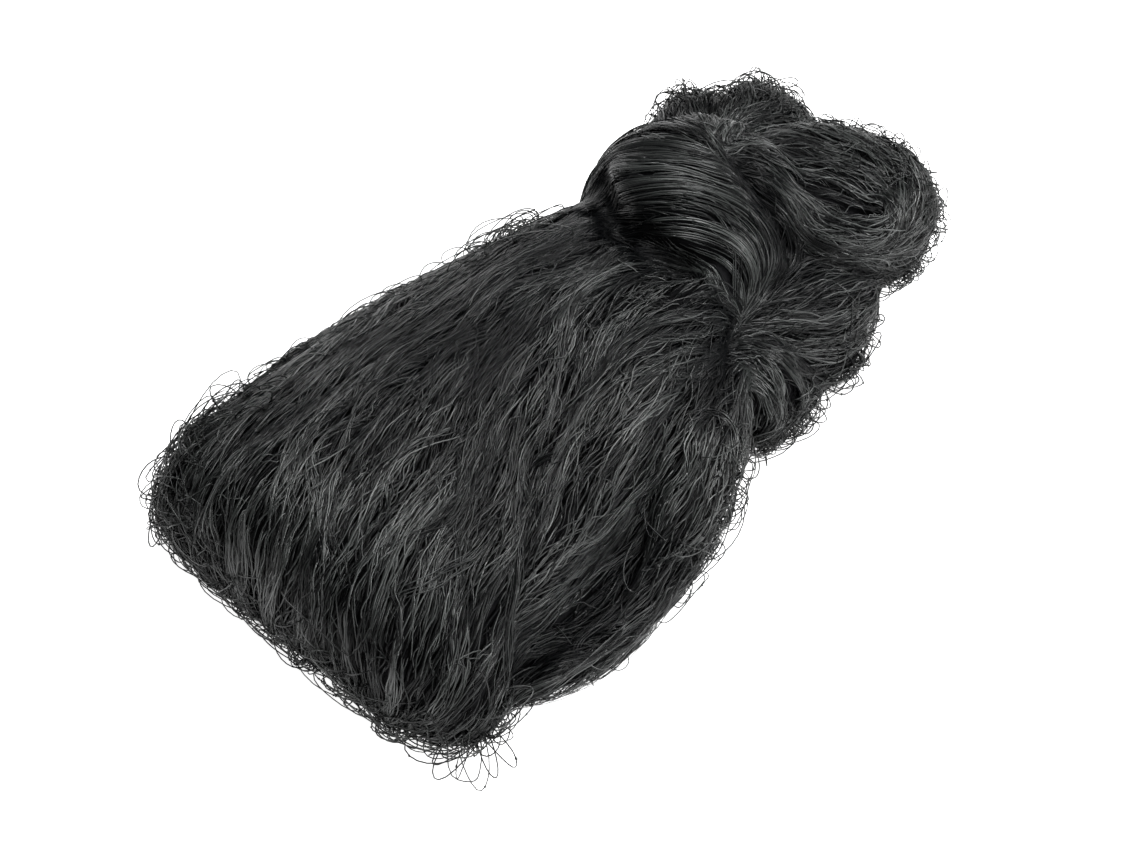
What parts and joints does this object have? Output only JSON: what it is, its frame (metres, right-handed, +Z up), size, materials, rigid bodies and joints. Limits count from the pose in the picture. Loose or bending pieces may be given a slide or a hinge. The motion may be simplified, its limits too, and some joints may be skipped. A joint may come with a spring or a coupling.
{
  "type": "knotted hank of bird netting",
  "caption": "Black knotted-twine bird net, gathered into a soft bundle, folded back on itself and tied in a loose knot with its own end.",
  "frame": {"origin": "on the surface that the hank rests on, under the middle of the box around it", "axes": "+X from the rounded fold to the knotted end, +Y to the side without the slipped lobe, +Z up"},
  "size_m": [0.4918, 0.2664, 0.1054],
  "materials": {
    "black_twine": "satin black polyethylene twine"
  },
  "bodies": {
    "root": {"net_hank": "black_twine"}
  },
  "joints": []
}
